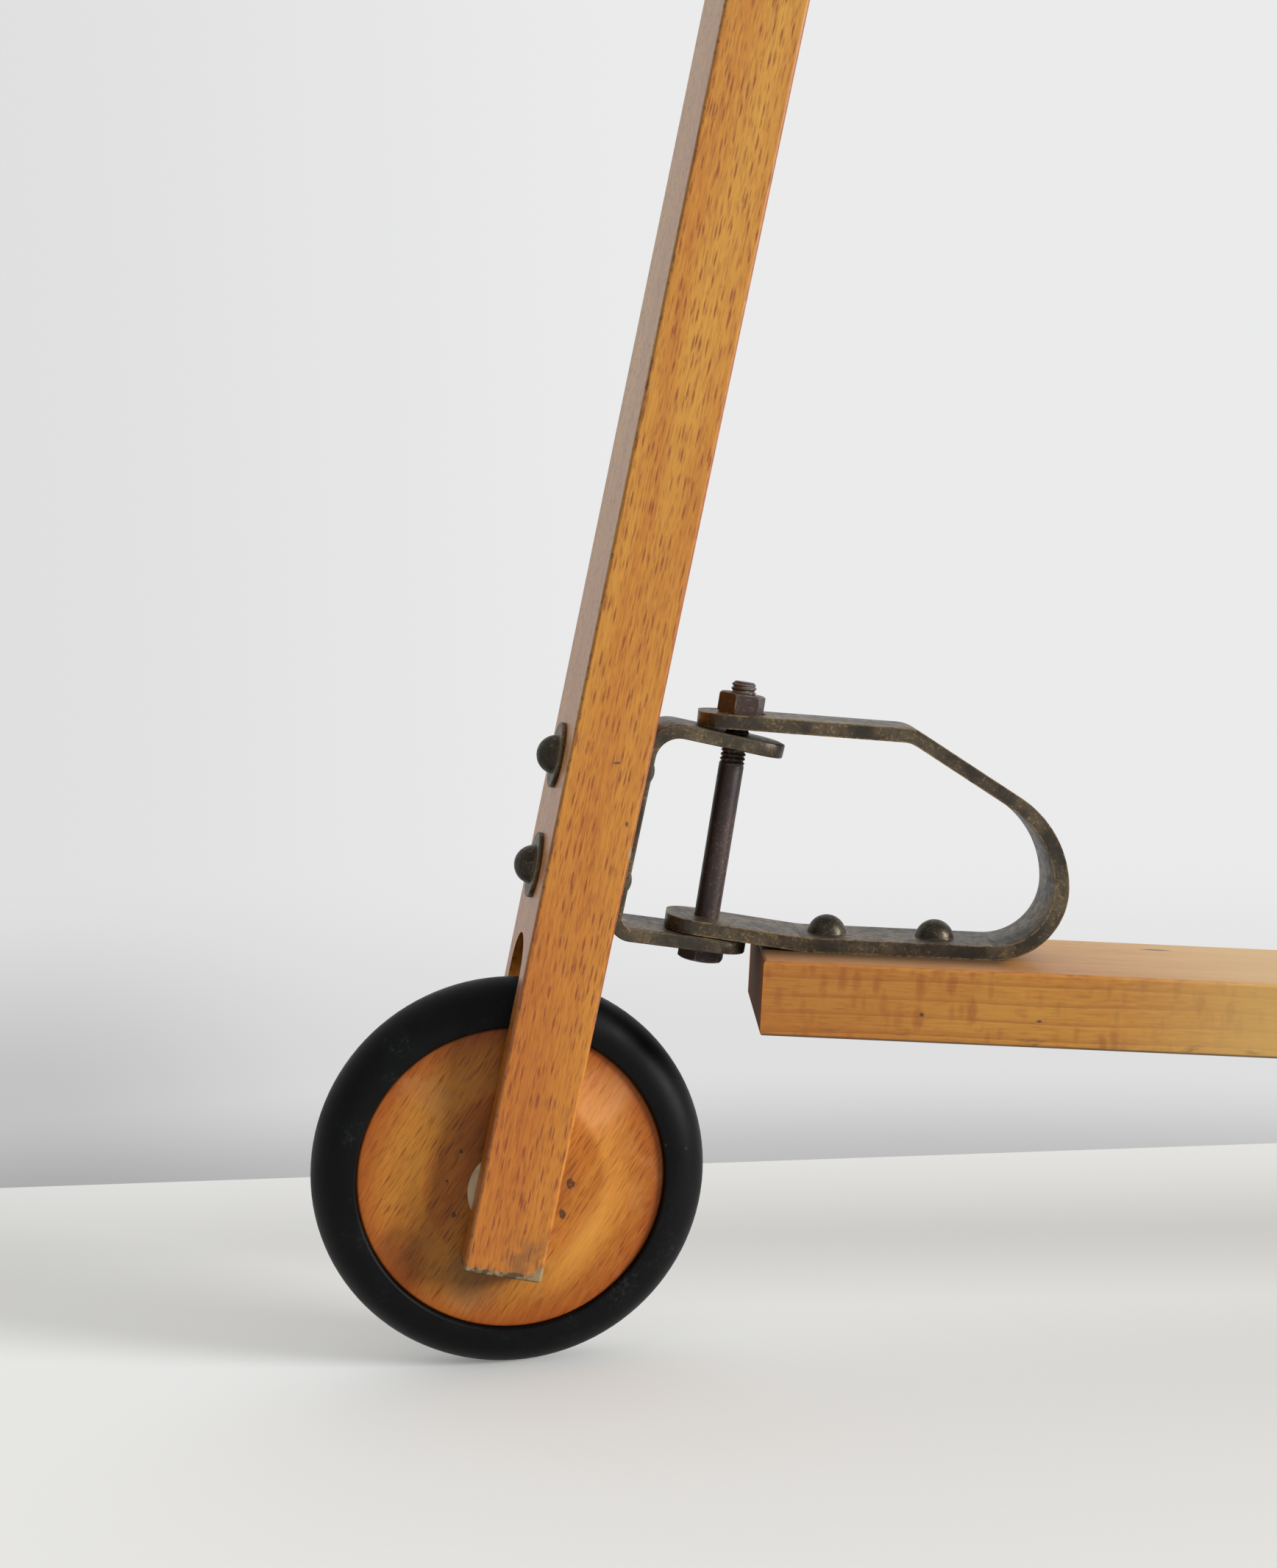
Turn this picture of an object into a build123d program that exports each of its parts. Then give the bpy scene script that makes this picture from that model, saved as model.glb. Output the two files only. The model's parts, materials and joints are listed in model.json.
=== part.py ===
from build123d import *
from math import asin, atan2, cos, degrees, hypot, radians, sin, sqrt, tan
import os

# A child's wooden kick scooter. Lengths in millimetres, angles in degrees.
# Ground is Z = 0, the scooter faces -X, Y runs across it, and the origin lies on the ground
# halfway between the axles of the straight-ahead scooter.

# Wheels
WHEEL_BASE = 750.0
WHEEL_RADIUS = 63.0
TYRE_SECTION = 23.0
TYRE_LIP_ROUND = 1.0
TYRE_RIB_WIDTH = 8.0
TYRE_RIB_DEPTH = 4.0
TYRE_SEAT_DEPTH = 9.0
DISC_RIM_THICKNESS = 19.0
DISC_RIM_ROUND = 1.0
DISC_HUB_THICKNESS = 23.0
DISC_FLAT_RADIUS = 29.5
DISC_CROWN = 0.5
AXLE_DIAMETER = 8.0
BUSH_DIAMETER = 12.0
SPACER_DIAMETER = 27.0
SPACER_DROP = 3.5
PLUG_DIAMETER = 12.0
PLUG_THICKNESS = 3.5
BLIND_WALL = 4.0

# Steering post, its fork and its foot
POST_DEPTH = 25.0
POST_WIDTH = 46.0
POST_RAKE = 13.7
POST_OFFSET = 1.4
POST_EDGE_ROUND = 1.2
POST_FOOT = 28.0
POST_FOOT_ROUND = 1.0

# Handlebar on top of the post
BAR_HEIGHT = 680.0
BAR_LENGTH = 360.0
BAR_DIAMETER = 32.0
BAR_WAIST_LENGTH = 60.0
GRIP_DIAMETER = 25.0
GRIP_LENGTH = 100.0
BAR_END_ROUND = 7.0
BAR_FLAT_DEPTH = 2.0
TENON_DIAMETER = 16.0
BAR_PIN_DIAMETER = 5.0
WEDGE_WIDTH = 2.4
WEDGE_TIP = 1.2
WEDGE_DEPTH = 10.0

# Deck board
DECK_WIDTH = 62.0
DECK_THICKNESS = 23.5
DECK_EDGE_ROUND = 1.2
DECK_TAIL = 28.0
DECK_TAIL_ROUND = 8.0
REAR_AXLE_DEPTH = 15.2

# Hinge: flat steel straps and the bolt they turn on
STRAP_WIDTH = 26.0
STRAP_THICKNESS = 4.5
HINGE_RAKE = 10.9
HINGE_TRAIL = 51.4
REST_STEER = 8.0
BOLT_DIAMETER = 8.0
BOLT_STANDS_OUT = 3.7
BOLT_TIP_CHAMFER = 1.0
HEX_FLATS = 13.2
BOLT_HEAD_HEIGHT = 4.4
NUT_HEIGHT = 6.6
NUT_TURN = 12.0
SPOT_FACE_DIAMETER = 17.0
SPOT_FACE_SINK = 0.5
EYE_CORNER_ROUND = 9.5

# The bracket on the post
BRACKET_LOW_BEND = 3.5
BRACKET_TOP_BEND = 7.5
BRACKET_ARM_TOP = 64.1
BRACKET_ARM_TILT = 3.9
BRACKET_TOP_REACH = 15.0
BRACKET_LET_IN = 1.4

# The loop on the deck
LOOP_ARM_TILT = 4.6
LOOP_ARM_REACH = 54.0
LOOP_DIAGONAL = 35.0
LOOP_REAR = 95.6
LOOP_TOP_BEND = 10.0
LOOP_LOWER_CURVE = 20.5
LOOP_REAR_STRAIGHT = 0.3
LOOP_NOSE_BEND = 30.0

# Rivets
RIVET_SHANK = 6.0
RIVET_HEAD_DIAMETER = 12.4
RIVET_HEAD_HEIGHT = 5.6
RIVET_TAIL_DIAMETER = 10.3
RIVET_TAIL_HEIGHT = 2.8
RIVET_WASHER_DIAMETER = 20.8
RIVET_WASHER_THICKNESS = 1.5
BRACKET_RIVETS_UP = (10.9, 46.4)
DECK_RIVETS_BACK = (22.0, 56.6)

# Clearances and gaps
SPIN_CLEARANCE = 0.05
SIDE_PLAY = 0.3
HINGE_PLAY = 0.3
ARM_GAP = 2.1
TYRE_SIDE_GAP = 1.5
TYRE_END_GAP = 13.5
NOSE_BEHIND_TYRE = 19.6
DECK_TOP_ABOVE_TYRE = 6.6
HINGE_SEAT_ABOVE_TYRE = 11.2
CUT_OVERRUN = 2.0

# Derived places and angles
TYRE_RADIUS = TYRE_SECTION / 2
TYRE_CENTRE = WHEEL_RADIUS - TYRE_RADIUS
DISC_RADIUS = WHEEL_RADIUS - TYRE_SECTION + TYRE_SEAT_DEPTH
SLOT_WIDTH = TYRE_SECTION + 2 * TYRE_SIDE_GAP
SLOT_REACH = WHEEL_RADIUS + TYRE_END_GAP
SPACER_LENGTH = (SLOT_WIDTH - DISC_HUB_THICKNESS) / 2 - SIDE_PLAY
AXLE_RADIUS = AXLE_DIAMETER / 2
FRONT_X = -WHEEL_BASE / 2
REAR_X = WHEEL_BASE / 2
HALF_STRAP = STRAP_WIDTH / 2
EYE_CENTRE_LIFT = HINGE_PLAY / 2 + STRAP_THICKNESS / 2

POST_PLANE = Plane(
    (FRONT_X, 0, WHEEL_RADIUS),
    x_dir=(cos(radians(POST_RAKE)), 0, -sin(radians(POST_RAKE))),
    z_dir=(sin(radians(POST_RAKE)), 0, cos(radians(POST_RAKE))),
)
POST_TOP = (BAR_HEIGHT - WHEEL_RADIUS) / cos(radians(POST_RAKE)) - BAR_DIAMETER / 2 + BAR_FLAT_DEPTH
BAR_UP = POST_TOP + BAR_DIAMETER / 2 - BAR_FLAT_DEPTH
POST_FRONT = Plane(
    POST_PLANE.from_local_coords(Vector(POST_OFFSET - POST_DEPTH / 2, 0, 0)),
    x_dir=POST_PLANE.z_dir,
    z_dir=-POST_PLANE.x_dir,
)

DECK_NOSE_X = WHEEL_RADIUS + NOSE_BEHIND_TYRE
DECK_NOSE_TOP = 2 * WHEEL_RADIUS + DECK_TOP_ABOVE_TYRE
AXLE_RUN = hypot(WHEEL_BASE - DECK_NOSE_X, DECK_NOSE_TOP - WHEEL_RADIUS)
AXLE_FALL = degrees(atan2(DECK_NOSE_TOP - WHEEL_RADIUS, WHEEL_BASE - DECK_NOSE_X))
DECK_SLOPE = AXLE_FALL - degrees(asin(REAR_AXLE_DEPTH / AXLE_RUN))
REAR_AXLE_BACK = sqrt(AXLE_RUN**2 - REAR_AXLE_DEPTH**2)
DECK_LENGTH = REAR_AXLE_BACK + DECK_TAIL
DECK_PLANE = Plane(
    (FRONT_X + DECK_NOSE_X, 0, DECK_NOSE_TOP),
    x_dir=(cos(radians(DECK_SLOPE)), 0, -sin(radians(DECK_SLOPE))),
    z_dir=(sin(radians(DECK_SLOPE)), 0, cos(radians(DECK_SLOPE))),
)

HINGE_SEAT_HEIGHT = 2 * WHEEL_RADIUS + HINGE_SEAT_ABOVE_TYRE
HINGE_X = FRONT_X + HINGE_TRAIL + (HINGE_SEAT_HEIGHT - WHEEL_RADIUS) * tan(radians(HINGE_RAKE))
HINGE_PLANE = Plane(
    (HINGE_X, 0, HINGE_SEAT_HEIGHT),
    x_dir=(cos(radians(HINGE_RAKE)), 0, -sin(radians(HINGE_RAKE))),
    z_dir=(sin(radians(HINGE_RAKE)), 0, cos(radians(HINGE_RAKE))),
)
HINGE_AXIS = Axis(HINGE_PLANE.origin, HINGE_PLANE.z_dir)
POST_FROM_HINGE = POST_RAKE - HINGE_RAKE
DECK_FROM_HINGE = HINGE_RAKE - DECK_SLOPE
LOOP_ARM_BOTTOM = BRACKET_ARM_TOP + ARM_GAP
NUT_SEAT = LOOP_ARM_BOTTOM + STRAP_THICKNESS / cos(radians(LOOP_ARM_TILT)) - SPOT_FACE_SINK
BOLT_SEAT = -HINGE_PLAY / 2 - STRAP_THICKNESS - HINGE_PLAY
BOLT_TIP = NUT_SEAT + NUT_HEIGHT + BOLT_STANDS_OUT
HINGE_SEAT_UP = POST_PLANE.to_local_coords(HINGE_PLANE.origin).Z
POST_RIVETS_UP = [HINGE_SEAT_UP + up for up in BRACKET_RIVETS_UP]
POST_RIVET_GRIP = POST_DEPTH + STRAP_THICKNESS - BRACKET_LET_IN


def spin(profile):
    """A turned solid from a half profile, X outwards and Z along the axis."""
    return revolve(profile, Axis.Z, 360)


def across(part):
    """Lay a solid built along Z across the scooter, so its Z runs along Y."""
    return Rot(-90, 0, 0) * part


def meet(first, first_angle, second, second_angle):
    """The point where two lines of the X-Z plane cross, from a point and an angle of each."""
    ax, az = cos(radians(first_angle)), sin(radians(first_angle))
    bx, bz = cos(radians(second_angle)), sin(radians(second_angle))
    gap_x, gap_z = second[0] - first[0], second[1] - first[1]
    run = (gap_x * bz - gap_z * bx) / (ax * bz - az * bx)
    return (first[0] + run * ax, first[1] + run * az)


def strap(points, bends):
    """A flat strap that follows a bent centre line drawn in the X-Z plane."""
    line = FilletPolyline(*points, radius=bends)
    section = trace(line, line_width=STRAP_THICKNESS)
    upright = Plane.XZ * section
    return extrude(upright, HALF_STRAP, both=True)


def strap_end(place, tilt, reach):
    """The end of a strap with round corners: it reaches along X from its bolt hole, to -X if negative."""
    pad = Pos(reach / 2, 0) * Rectangle(abs(reach), STRAP_WIDTH)
    corners = pad.vertices().group_by(Axis.X)[-1 if reach > 0 else 0]
    slab = extrude(fillet(corners, EYE_CORNER_ROUND), STRAP_THICKNESS / 2, both=True)
    return Pos(place[0], 0, place[1]) * (Rot(0, tilt, 0) * slab)


def bolt_hole(radius):
    """A round cutter along the hinge axis, longer than the hinge."""
    return Cylinder(radius, 2 * (BOLT_TIP + CUT_OVERRUN))


def hexagon(height, chamfered_ends):
    """A hexagon head or nut with its corners turned off at the given ends, base at Z = 0."""
    flat = HEX_FLATS / 2
    corner = HEX_FLATS / sqrt(3)
    fall = (corner - flat) * tan(radians(30))
    outline = [(0, 0)]
    outline += [(flat, 0), (corner, fall)] if "foot" in chamfered_ends else [(corner, 0)]
    outline += [(corner, height - fall), (flat, height)] if "crown" in chamfered_ends else [(corner, height)]
    outline += [(0, height)]
    turned = spin(Plane.XZ * make_face(Polyline(*outline, close=True)))
    return extrude(RegularPolygon(corner, 6), height) & turned


def dome(diameter, height):
    """A round cap standing on Z = 0, part of a sphere."""
    half = diameter / 2
    radius = (half**2 + height**2) / (2 * height)
    turn = atan2(half, radius - height) / 2
    crest = (radius * sin(turn), height - radius + radius * cos(turn))
    outline = Polyline((half, 0), (0, 0), (0, height)) + ThreePointArc((half, 0), crest, (0, height))
    return spin(Plane.XZ * make_face(outline))


def rivet(grip, washer_under_head):
    """A rivet along Z: domed head above Z = 0, shank through the grip, closed tail below it."""
    lift = RIVET_WASHER_THICKNESS if washer_under_head else 0
    sink = 0 if washer_under_head else RIVET_WASHER_THICKNESS
    head = Pos(0, 0, lift) * dome(RIVET_HEAD_DIAMETER, RIVET_HEAD_HEIGHT)
    length = lift + grip + sink
    shank = Pos(0, 0, lift - length / 2) * Cylinder(RIVET_SHANK / 2, length)
    tail = Pos(0, 0, -grip - sink) * (Rot(180, 0, 0) * dome(RIVET_TAIL_DIAMETER, RIVET_TAIL_HEIGHT))
    return head + shank + tail


def rivet_washer():
    """A plain washer with its underside at Z = 0, bored to the rivet's shank."""
    ring = Cylinder(RIVET_WASHER_DIAMETER / 2, RIVET_WASHER_THICKNESS)
    ring -= Cylinder(RIVET_SHANK / 2, 2 * RIVET_WASHER_THICKNESS)
    return Pos(0, 0, RIVET_WASHER_THICKNESS / 2) * ring


# Wheel pieces, built with the wheel's axis along Z and its middle at the origin
def wheel_disc():
    """A turned beech disc: flat in the middle, crowned down to a thinner rim, grooved for the tyre."""
    hub = DISC_HUB_THICKNESS / 2
    rim = DISC_RIM_THICKNESS / 2
    edge = DISC_RADIUS - DISC_RIM_ROUND
    groove = DISC_RADIUS - TYRE_RIB_DEPTH
    crest = ((DISC_FLAT_RADIUS + edge) / 2, (hub + rim) / 2 + DISC_CROWN)
    upper = Polyline((BUSH_DIAMETER / 2, 0), (BUSH_DIAMETER / 2, hub), (DISC_FLAT_RADIUS, hub))
    upper += ThreePointArc((DISC_FLAT_RADIUS, hub), crest, (edge, rim))
    upper += RadiusArc((edge, rim), (DISC_RADIUS, rim - DISC_RIM_ROUND), DISC_RIM_ROUND)
    upper += Polyline(
        (DISC_RADIUS, rim - DISC_RIM_ROUND),
        (DISC_RADIUS, TYRE_RIB_WIDTH / 2),
        (groove, TYRE_RIB_WIDTH / 2),
        (groove, 0),
        (BUSH_DIAMETER / 2, 0),
    )
    half = spin(Plane.XZ * make_face(upper))
    return half + mirror(half, Plane.XY)


def tyre():
    """A solid rubber tyre: round outside, flat where it grips the disc, with a rib in the groove."""
    section = Pos(TYRE_CENTRE, 0) * Circle(TYRE_RADIUS)
    section -= Pos(DISC_RADIUS - TYRE_SECTION, 0) * Rectangle(2 * TYRE_SECTION, 2 * TYRE_SECTION)
    lips = section.vertices().sort_by(Axis.X)[:2]
    section = fillet(lips, TYRE_LIP_ROUND)
    rib = Pos(DISC_RADIUS - TYRE_RIB_DEPTH / 2 + TYRE_LIP_ROUND / 2, 0) * Rectangle(
        TYRE_RIB_DEPTH + TYRE_LIP_ROUND, TYRE_RIB_WIDTH
    )
    return spin(Plane.XZ * (section + rib))


def hub_bush():
    """A steel tube pressed into the disc, running on the axle."""
    wall = Cylinder(BUSH_DIAMETER / 2, DISC_HUB_THICKNESS)
    return wall - Cylinder(AXLE_RADIUS + SPIN_CLEARANCE, 2 * DISC_HUB_THICKNESS)


def wheel_spacers():
    """Two thin plastic washers beside the hub, hanging on the axle with their wide bores."""
    bore = AXLE_RADIUS + SPACER_DROP
    ring = Cylinder(SPACER_DIAMETER / 2, SPACER_LENGTH) - Cylinder(bore, 2 * SPACER_LENGTH)
    place = SLOT_WIDTH / 2 - SPACER_LENGTH / 2
    pair = [Pos(0, SPACER_DROP, side * place) * ring for side in (-1, 1)]
    return Part() + pair


def axle(width):
    """A round steel axle, blind in the near cheek and stopped by a plug in the far one."""
    start = BLIND_WALL - width / 2
    end = width / 2 - PLUG_THICKNESS
    return Pos(0, 0, (start + end) / 2) * Cylinder(AXLE_RADIUS, end - start)


def axle_plug(width):
    """A round beech plug that closes the axle's hole on the far cheek."""
    return Pos(0, 0, width / 2 - PLUG_THICKNESS / 2) * Cylinder(PLUG_DIAMETER / 2, PLUG_THICKNESS)


def axle_place(plane, place):
    """Move a piece built along Z so it lies across the scooter at a point of a plane."""
    return lambda part: plane * (Pos(*place) * across(part))


# Board and post
def wheel_slot(beyond_axle, depth):
    """A cutter for a wheel's slot along X, closed by a half circle, open where the wood ends at X = 0."""
    return extrude(SlotOverall(2 * (beyond_axle + SLOT_REACH), SLOT_WIDTH), depth, both=True)


def deck_rivet_holes():
    """Cutters for the rivets through the strap and the board, in deck coordinates."""
    length = STRAP_THICKNESS + DECK_THICKNESS + 2 * CUT_OVERRUN
    middle = (STRAP_THICKNESS - DECK_THICKNESS) / 2
    return Part() + [Pos(back, 0, middle) * Cylinder(RIVET_SHANK / 2, length) for back in DECK_RIVETS_BACK]


def post_rivet_holes():
    """Cutters for the rivets through the post and the bracket, in post coordinates."""
    length = POST_DEPTH + STRAP_THICKNESS + 2 * CUT_OVERRUN
    middle = POST_OFFSET + STRAP_THICKNESS / 2
    hole = Rot(0, 90, 0) * Cylinder(RIVET_SHANK / 2, length)
    return Part() + [Pos(middle, 0, up) * hole for up in POST_RIVETS_UP]


def deck_board():
    """The beech board in deck coordinates: X backwards from the nose, top face at Z = 0."""
    block = Pos(DECK_LENGTH / 2, 0, -DECK_THICKNESS / 2) * Box(DECK_LENGTH, DECK_WIDTH, DECK_THICKNESS)
    tail = block.edges().filter_by(Axis.Z).group_by(Axis.X)[-1]
    block = fillet(tail, DECK_TAIL_ROUND)
    rims = block.faces().sort_by(Axis.Z)[0].edges() + block.faces().sort_by(Axis.Z)[-1].edges()
    block = fillet(rims, DECK_EDGE_ROUND)
    block -= Pos(DECK_LENGTH, 0, 0) * wheel_slot(DECK_TAIL, DECK_THICKNESS + CUT_OVERRUN)
    place = axle_place(Plane.XY, (REAR_AXLE_BACK, 0, -REAR_AXLE_DEPTH))
    block -= place(axle(DECK_WIDTH))
    block -= place(axle_plug(DECK_WIDTH))
    return block - deck_rivet_holes()


def steering_post():
    """The beech post in post coordinates: X backwards, Z up along it from the front axle."""
    length = POST_TOP + POST_FOOT
    middle = (POST_TOP - POST_FOOT) / 2
    block = Pos(POST_OFFSET, 0, middle) * Box(POST_DEPTH, POST_WIDTH, length)
    block = fillet(block.edges().filter_by(Axis.Z), POST_EDGE_ROUND)
    block = fillet(block.faces().sort_by(Axis.Z)[0].edges(), POST_FOOT_ROUND)
    slot = Rot(0, 90, 0) * wheel_slot(POST_FOOT, POST_DEPTH + CUT_OVERRUN)
    block -= Pos(0, 0, -POST_FOOT) * slot
    place = axle_place(Plane.XY, (0, 0, 0))
    block -= place(axle(POST_WIDTH))
    block -= place(axle_plug(POST_WIDTH))
    block -= post_rivet_holes()
    block -= bracket_seat()
    tenon_height = BAR_DIAMETER - BAR_FLAT_DEPTH
    tenon = Pos(POST_OFFSET, 0, POST_TOP + tenon_height / 2) * Cylinder(TENON_DIAMETER / 2, tenon_height)
    return block + (tenon & bar_blank()) - bar_pin() - tenon_wedge()


# Handlebar, in post coordinates
def bar_blank():
    """The turned outside of the handlebar: thick waist, tapered arms, straight grips, round ends."""
    half = BAR_LENGTH / 2
    waist = BAR_DIAMETER / 2
    grip = GRIP_DIAMETER / 2
    outline = Polyline(
        (0, -half),
        (grip - BAR_END_ROUND, -half),
    )
    outline += RadiusArc((grip - BAR_END_ROUND, -half), (grip, BAR_END_ROUND - half), -BAR_END_ROUND)
    outline += Polyline(
        (grip, BAR_END_ROUND - half),
        (grip, GRIP_LENGTH - half),
        (waist, -BAR_WAIST_LENGTH / 2),
        (waist, BAR_WAIST_LENGTH / 2),
        (grip, half - GRIP_LENGTH),
        (grip, half - BAR_END_ROUND),
    )
    outline += RadiusArc((grip, half - BAR_END_ROUND), (grip - BAR_END_ROUND, half), -BAR_END_ROUND)
    outline += Polyline((grip - BAR_END_ROUND, half), (0, half), (0, -half))
    return Pos(POST_OFFSET, 0, BAR_UP) * across(spin(Plane.XZ * make_face(outline)))


def handlebar():
    """The handlebar with a flat seat on the post, the tenon's hole and the pin's hole."""
    seat = Pos(POST_OFFSET, 0, POST_TOP - BAR_DIAMETER) * Box(
        2 * BAR_DIAMETER, BAR_WAIST_LENGTH, 2 * BAR_DIAMETER
    )
    bore = Pos(POST_OFFSET, 0, BAR_UP) * Cylinder(TENON_DIAMETER / 2, 2 * BAR_DIAMETER)
    return bar_blank() - seat - bore - bar_pin()


def bar_pin():
    """A dowel from front to back through the handlebar and the post's tenon."""
    rod = Rot(0, 90, 0) * Cylinder(BAR_PIN_DIAMETER / 2, 2 * BAR_DIAMETER)
    return (Pos(POST_OFFSET, 0, BAR_UP) * rod) & bar_blank()


def tenon_wedge():
    """The thin wedge driven into the top of the tenon, across the bar's grain."""
    top = BAR_UP + BAR_DIAMETER
    low = BAR_UP + BAR_DIAMETER / 2 - WEDGE_DEPTH
    taper = Polyline(
        (POST_OFFSET - WEDGE_TIP / 2, low),
        (POST_OFFSET + WEDGE_TIP / 2, low),
        (POST_OFFSET + WEDGE_WIDTH / 2, top),
        (POST_OFFSET - WEDGE_WIDTH / 2, top),
        close=True,
    )
    blade = extrude(Plane.XZ * make_face(taper), TENON_DIAMETER, both=True)
    bore = Pos(POST_OFFSET, 0, BAR_UP) * Cylinder(TENON_DIAMETER / 2, 2 * BAR_DIAMETER)
    return blade & bore & bar_blank()


# Hinge pieces, in hinge coordinates: Z along the bolt, seat of the loop on the bracket at Z = 0
def bracket_line():
    """The bracket's bent middle line in X and Z: lower eye, two corners, upper eye."""
    offset = HINGE_PLANE.to_local_coords(POST_PLANE.from_local_coords(Vector(POST_OFFSET, 0, 0)))
    web_angle = 90 - POST_FROM_HINGE
    web_shift = POST_DEPTH / 2 + STRAP_THICKNESS / 2 - BRACKET_LET_IN
    web = (
        offset.X + web_shift * cos(radians(POST_FROM_HINGE)),
        offset.Z - web_shift * sin(radians(POST_FROM_HINGE)),
    )
    low = (0, -EYE_CENTRE_LIFT)
    high = (0, BRACKET_ARM_TOP - STRAP_THICKNESS / 2 / cos(radians(BRACKET_ARM_TILT)))
    return [low, meet(low, 0, web, web_angle), meet(high, -BRACKET_ARM_TILT, web, web_angle), high]


def bracket_seat():
    """A cutter for the shallow seat of the bracket in the post's rear face, in post coordinates."""
    corners = [HINGE_PLANE.from_local_coords(Vector(x, 0, z)) for x, z in bracket_line()[1:3]]
    bottom, top = [POST_PLANE.to_local_coords(corner).Z for corner in corners]
    height = top - bottom + 2 * STRAP_THICKNESS
    rear = POST_OFFSET + POST_DEPTH / 2
    return Pos(rear, 0, (bottom + top) / 2) * Box(2 * BRACKET_LET_IN, STRAP_WIDTH, height)


def post_bracket():
    """The bent strap on the post: two arms with eyes, and a web let in and riveted to the rear face."""
    line = bracket_line()
    bends = [BRACKET_LOW_BEND + STRAP_THICKNESS / 2, BRACKET_TOP_BEND + STRAP_THICKNESS / 2]
    body = strap(line, bends)
    body += strap_end(line[0], 0, HALF_STRAP)
    body += strap_end(line[-1], BRACKET_ARM_TILT, BRACKET_TOP_REACH)
    body -= bolt_hole(BOLT_DIAMETER / 2 + SPIN_CLEARANCE)
    return body - HINGE_PLANE.to_local_coords(POST_PLANE * post_rivet_holes())


def hinge_loop():
    """The bent strap on the deck: lower eye, flat base, rear curl, diagonal and upper arm with its eye."""
    nose = HINGE_PLANE.to_local_coords(DECK_PLANE.origin)
    base_angle = DECK_FROM_HINGE
    base = (
        nose.X - STRAP_THICKNESS / 2 * sin(radians(base_angle)),
        nose.Z + STRAP_THICKNESS / 2 * cos(radians(base_angle)),
    )
    low = (0, EYE_CENTRE_LIFT)
    high = (0, LOOP_ARM_BOTTOM + STRAP_THICKNESS / 2 / cos(radians(LOOP_ARM_TILT)))
    rear_base = Vector(LOOP_REAR, 0, STRAP_THICKNESS / 2)
    rear = HINGE_PLANE.to_local_coords(DECK_PLANE.from_local_coords(rear_base))
    upright = HINGE_RAKE + 90
    arm_end = (
        LOOP_ARM_REACH * cos(radians(LOOP_ARM_TILT)),
        high[1] + LOOP_ARM_REACH * sin(radians(LOOP_ARM_TILT)),
    )
    nose_bend = meet(low, 0, base, base_angle)
    top_bend = arm_end
    rear_low = (rear.X, rear.Z)
    rear_high = meet(rear_low, upright, top_bend, HINGE_RAKE - LOOP_DIAGONAL)
    # The upper curve takes up what the lower curve and a short straight leave of the upright
    room = hypot(rear_high[0] - rear_low[0], rear_high[1] - rear_low[1])
    lower_run = LOOP_LOWER_CURVE * tan(radians(90 + DECK_SLOPE) / 2)
    upper_curve = (room - lower_run - LOOP_REAR_STRAIGHT) / tan(radians(90 - LOOP_DIAGONAL) / 2)
    points = [low, nose_bend, rear_low, rear_high, top_bend, high]
    body = strap(points, [LOOP_NOSE_BEND, LOOP_LOWER_CURVE, upper_curve, LOOP_TOP_BEND])
    body += strap_end(low, 0, -HALF_STRAP)
    body += strap_end(high, -LOOP_ARM_TILT, -HALF_STRAP)
    body -= bolt_hole(BOLT_DIAMETER / 2)
    spot = Cylinder(SPOT_FACE_DIAMETER / 2, STRAP_THICKNESS)
    body -= Pos(0, 0, NUT_SEAT + STRAP_THICKNESS / 2) * spot
    return body - HINGE_PLANE.to_local_coords(DECK_PLANE * deck_rivet_holes())


def hinge_bolt():
    """The hinge bolt: hexagon head below the bracket, plain shank, chamfered tip above the nut."""
    length = BOLT_TIP - BOLT_SEAT
    shank = Pos(0, 0, BOLT_SEAT + length / 2) * Cylinder(BOLT_DIAMETER / 2, length)
    shank = chamfer(shank.edges().sort_by(Axis.Z)[-1], BOLT_TIP_CHAMFER)
    head = Pos(0, 0, BOLT_SEAT - BOLT_HEAD_HEIGHT) * hexagon(BOLT_HEAD_HEIGHT, ["foot"])
    return shank + head


def hinge_nut():
    """The hexagon nut that holds the loop's upper eye on the bolt."""
    body = hexagon(NUT_HEIGHT, ["foot", "crown"]) - bolt_hole(BOLT_DIAMETER / 2)
    return Pos(0, 0, NUT_SEAT) * (Rot(0, 0, NUT_TURN) * body)


# Placing
def on_post(part):
    """Place a piece given in post coordinates, turned with the steering."""
    return steered(POST_PLANE * part)


def steered(part):
    """Turn a straight-ahead piece about the hinge to the resting steering angle."""
    return part.rotate(HINGE_AXIS, REST_STEER)


def front_wheel_piece(part):
    """Place a piece of the front wheel, built along Z about the wheel's middle."""
    return on_post(across(part))


def rear_wheel_piece(part):
    """Place a piece of the rear wheel, built along Z about the wheel's middle."""
    return Pos(REAR_X, 0, WHEEL_RADIUS) * across(part)


def rivet_group(plane, places, grip, washer_under_head):
    """Several equal rivets standing on a plane at the given places."""
    return [plane * (Pos(*place) * rivet(grip, washer_under_head)) for place in places]


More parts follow.
